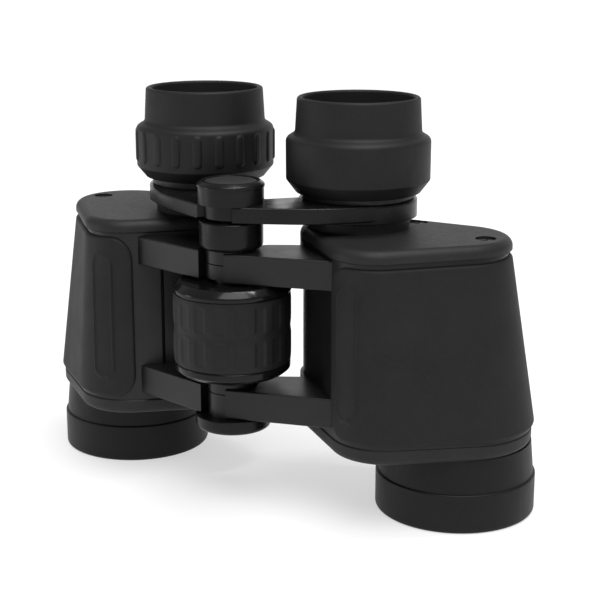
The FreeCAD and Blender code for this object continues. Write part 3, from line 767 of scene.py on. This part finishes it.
def focus_wheel():
    """Rubber grip between two gloss flanges."""
    low, high = z_range("focus_wheel_grip")
    top = z_range("focus_wheel_upper_flange")[1]
    base = z_range("focus_wheel_lower_flange")[0]
    middle = (low + high) / 2
    grip = [
        (WHEEL_BORE_R, low + GRIP_GAP, 0), (16.9, low + GRIP_GAP, 0.4), (GRIP_R, low + 2.6, 2),
        (GRIP_R, middle - 2.4, 2), (16.85, middle, 3), (GRIP_R, middle + 2.4, 2),
        (GRIP_R, high - 2.6, 2), (16.9, high - GRIP_GAP, 0.4), (WHEEL_BORE_R, high - GRIP_GAP, 0),
    ]
    turned("focus_grip_rubber", grip, AXLE, "focus_wheel", "grip_rubber", ["focus_wheel_grip"],
           FLUTES * FLUTE_COLUMNS, make_flutes(low, high), longest=0.4)
    upper = [
        (WHEEL_BORE_R, high + GRIP_GAP, 0), (17.0, high + GRIP_GAP, 0.3), (GRIP_R, high + 0.5, 0.3),
        (GRIP_R, top - 1.8, 1.2), (15.35, top, 1.1), (WHEEL_BORE_R, top, 0.2),
    ]
    turned("focus_flange_upper", upper, AXLE, "focus_wheel", "wheel_gloss",
           ["focus_wheel_upper_flange"], WIDE_COLUMNS)
    lower = [
        (WHEEL_BORE_R, base, 0.2), (15.2, base, 0.6), (16.9, base + 1.4, 0.7), (16.9, low - 0.4, 0.3),
        (16.7, low - GRIP_GAP, 0.2), (WHEEL_BORE_R, low - GRIP_GAP, 0),
    ]
    turned("focus_flange_lower", lower, AXLE, "focus_wheel", "wheel_gloss",
           ["focus_wheel_lower_flange"], WIDE_COLUMNS)


def make_flutes(low, high):
    """Two rows of shallow flutes for a grip between these heights."""
    middle = (low + high) / 2
    pitch = TAU / FLUTES
    lower_row = (low + FLUTE_END_GAP, middle - FLUTE_WAIST_GAP)
    upper_row = (middle + FLUTE_WAIST_GAP, high - FLUTE_END_GAP)

    def reach(angle, r, z):
        beside = abs((angle % pitch) - pitch / 2) * r / FLUTE_HALF
        if r < FLUTED_R or beside >= 1:
            return 0.0
        bottom, top = lower_row if z < middle else upper_row
        run_out = smooth_step(0.0, FLUTE_FADE, min(z - bottom, top - z))
        return -FLUTE_DEPTH * (1 - beside ** 4) * run_out

    return reach


AXLE_R = 5.0
SLEEVE_R = 9.2
FRONT_CAP_R = 11.1
FRONT_CAP_FLOOR = 2.1       # the axle ends this far below the front cap's upper face
BRIDGE_CAP_R = 9.7
DISC_SEAT_R = 7.5
DISC_SEAT_DEPTH = 0.6
DISC_R = 7.4


def hinge_trim():
    """Sleeve above the hinge, cap under it, and the bridge's cap with its domed disc."""
    low, high = z_range("hinge_sleeve")
    sleeve = [(AXLE_R, low, 0), (SLEEVE_R, low, 1.9), (SLEEVE_R, high, 0.4), (AXLE_R, high, 0)]
    turned("hinge_sleeve_shell", sleeve, AXLE, "left_half", "bridge_paint", ["hinge_sleeve"])

    low, high = z_range("front_hinge_cap")
    axle_end = high - FRONT_CAP_FLOOR
    cap = [
        (0, low, 0), (FRONT_CAP_R, low, 1.4), (FRONT_CAP_R, high, 0.3), (AXLE_R, high, 0),
        (AXLE_R, axle_end, 0), (0, axle_end, 0),
    ]
    turned("front_cap_shell", cap, AXLE, "left_half", "bridge_paint", ["front_hinge_cap"])

    low, high = z_range("bridge_cap")
    seat = high - DISC_SEAT_DEPTH
    bezel = [
        (0, low, 0), (BRIDGE_CAP_R, low, 0.15), (BRIDGE_CAP_R, low + 0.85, 0.9), (8.4, high, 0.6),
        (DISC_SEAT_R, high, 0.15), (DISC_SEAT_R, seat, 0), (0, seat, 0),
    ]
    turned("bridge_cap_bezel", bezel, AXLE, "left_bridge", "bridge_paint", ["bridge_cap"])

    low, high = z_range("bridge_cap_disc")
    dome = [
        (0, low, 0), (DISC_R, low, 0), (DISC_R, low + 0.35, 0.2), (5.2, high - 0.12, 3),
        (2.4, high, 4), (0, high, 0),
    ]
    turned("bridge_cap_dome", dome, AXLE, "left_bridge", "cap_disc", ["bridge_cap_disc"])


# ---- Set -----------------------------------------------------------------------------------------
AIM_OFFSET = Vector((22.67, 0.0, 5.08)) * MM     # from the middle of the CAD box to the camera's aim
CAMERA_AZIMUTH = math.radians(29.94)
CAMERA_ELEVATION = math.radians(14.57)
CAMERA_DISTANCE = 0.40427
CAMERA_LENS = 86.24
CAMERA_SENSOR = 36.0
CAMERA_CLIP = (0.01, 100.0)
FLOOR_HALF = 14.0
FLOOR_DROP = 0.00003                             # keeps the floor clear of the rims
FLOOR_GLOW = 0.55                                # lifts the paper to white around soft shadows
WHITE = (1.0, 1.0, 1.0, 1.0)
WORLD_STRENGTH = 0.42
SUN_POWER = 2.3
SUN_ANGLE = math.radians(45)
SUN_TILT = (math.radians(20), math.radians(18), 0)
OBJECT_MIDDLE = (0.0, 0.0, 0.06)


def placed(name, data):
    """A new object in the scene."""
    thing = bpy.data.objects.new(name, data)
    bpy.context.scene.collection.objects.link(thing)
    return thing


def camera():
    """Camera at the viewing angle of a three-quarter product shot."""
    low, high = (Vector(corner) for corner in cad_box)
    middle = (low + high) / 2
    aim = Vector((middle.x + AIM_OFFSET.x, AXLE[1], middle.z + AIM_OFFSET.z))
    level = math.cos(CAMERA_ELEVATION)
    back = Vector((
        math.sin(CAMERA_AZIMUTH) * level,
        -math.cos(CAMERA_AZIMUTH) * level,
        math.sin(CAMERA_ELEVATION),
    ))
    data = bpy.data.cameras.new("camera")
    data.lens = CAMERA_LENS
    data.sensor_width = CAMERA_SENSOR
    data.clip_start, data.clip_end = CAMERA_CLIP
    eye = placed("camera", data)
    eye.location = aim + back * CAMERA_DISTANCE
    eye.rotation_mode = "QUATERNION"
    eye.rotation_quaternion = (-back).to_track_quat("-Z", "Y")
    bpy.context.scene.camera = eye


def floor():
    """White paper."""
    half = FLOOR_HALF
    corners = [(-half, -half, 0), (half, -half, 0), (half, half, 0), (-half, half, 0)]
    mesh = bpy.data.meshes.new("studio_floor")
    mesh.from_pydata(corners, [], [(0, 1, 2, 3)])
    plane = placed("studio_floor", mesh)
    plane.location.z = -FLOOR_DROP
    graph = Graph("floor_paper_look")
    paper = graph.ramp(graph.noise(3.0, detail=2.0), grey(0.45), grey(0.46))
    graph.link(paper, graph.shader.inputs["Base Color"])
    graph.constants(Roughness=0.9, Specular_IOR_Level=0.1)
    graph.constants(Emission_Strength=FLOOR_GLOW, Emission_Color=WHITE)
    mesh.materials.append(graph.material)


def area_light(name, place, width, height, power):
    """A lit rectangle that faces the object."""
    data = bpy.data.lights.new(name, "AREA")
    data.shape = "RECTANGLE"
    data.size = width
    data.size_y = height
    data.energy = power
    lamp = placed(name, data)
    lamp.location = place
    lamp.rotation_mode = "QUATERNION"
    lamp.rotation_quaternion = (Vector(OBJECT_MIDDLE) - Vector(place)).to_track_quat("-Z", "Y")
    return lamp


def lights():
    """Soft sky and sun, a strip at the left, a wide panel behind, and a strip above for the wheel."""
    world = bpy.data.worlds.new("studio")
    world.use_nodes = True
    background = world.node_tree.nodes["Background"]
    background.inputs["Color"].default_value = WHITE
    background.inputs["Strength"].default_value = WORLD_STRENGTH
    bpy.context.scene.world = world
    sun = bpy.data.lights.new("broad_sun", "SUN")
    sun.energy = SUN_POWER
    sun.angle = SUN_ANGLE
    placed("broad_sun", sun).rotation_euler = SUN_TILT
    area_light("left_strip", (-0.52, -0.33, 0.13), width=0.12, height=0.30, power=0.35)
    area_light("back_panel", (-0.30, 0.80, 0.24), width=1.30, height=0.24, power=1.0)
    strip = area_light("top_strip", (0.17, 0.055, 0.78), width=0.34, height=0.05, power=1.8)
    strip.rotation_quaternion = Euler((0, 0, CAMERA_AZIMUTH)).to_quaternion()
    bpy.context.scene.view_settings.view_transform = "Standard"


# ---- Build ---------------------------------------------------------------------------------------
dress_cad_nodes()
for each_side in SIDES:
    armor(each_side)
    objective_end(each_side)
    eyepiece(each_side)
focus_wheel()
hinge_trim()
camera()
floor()
lights()
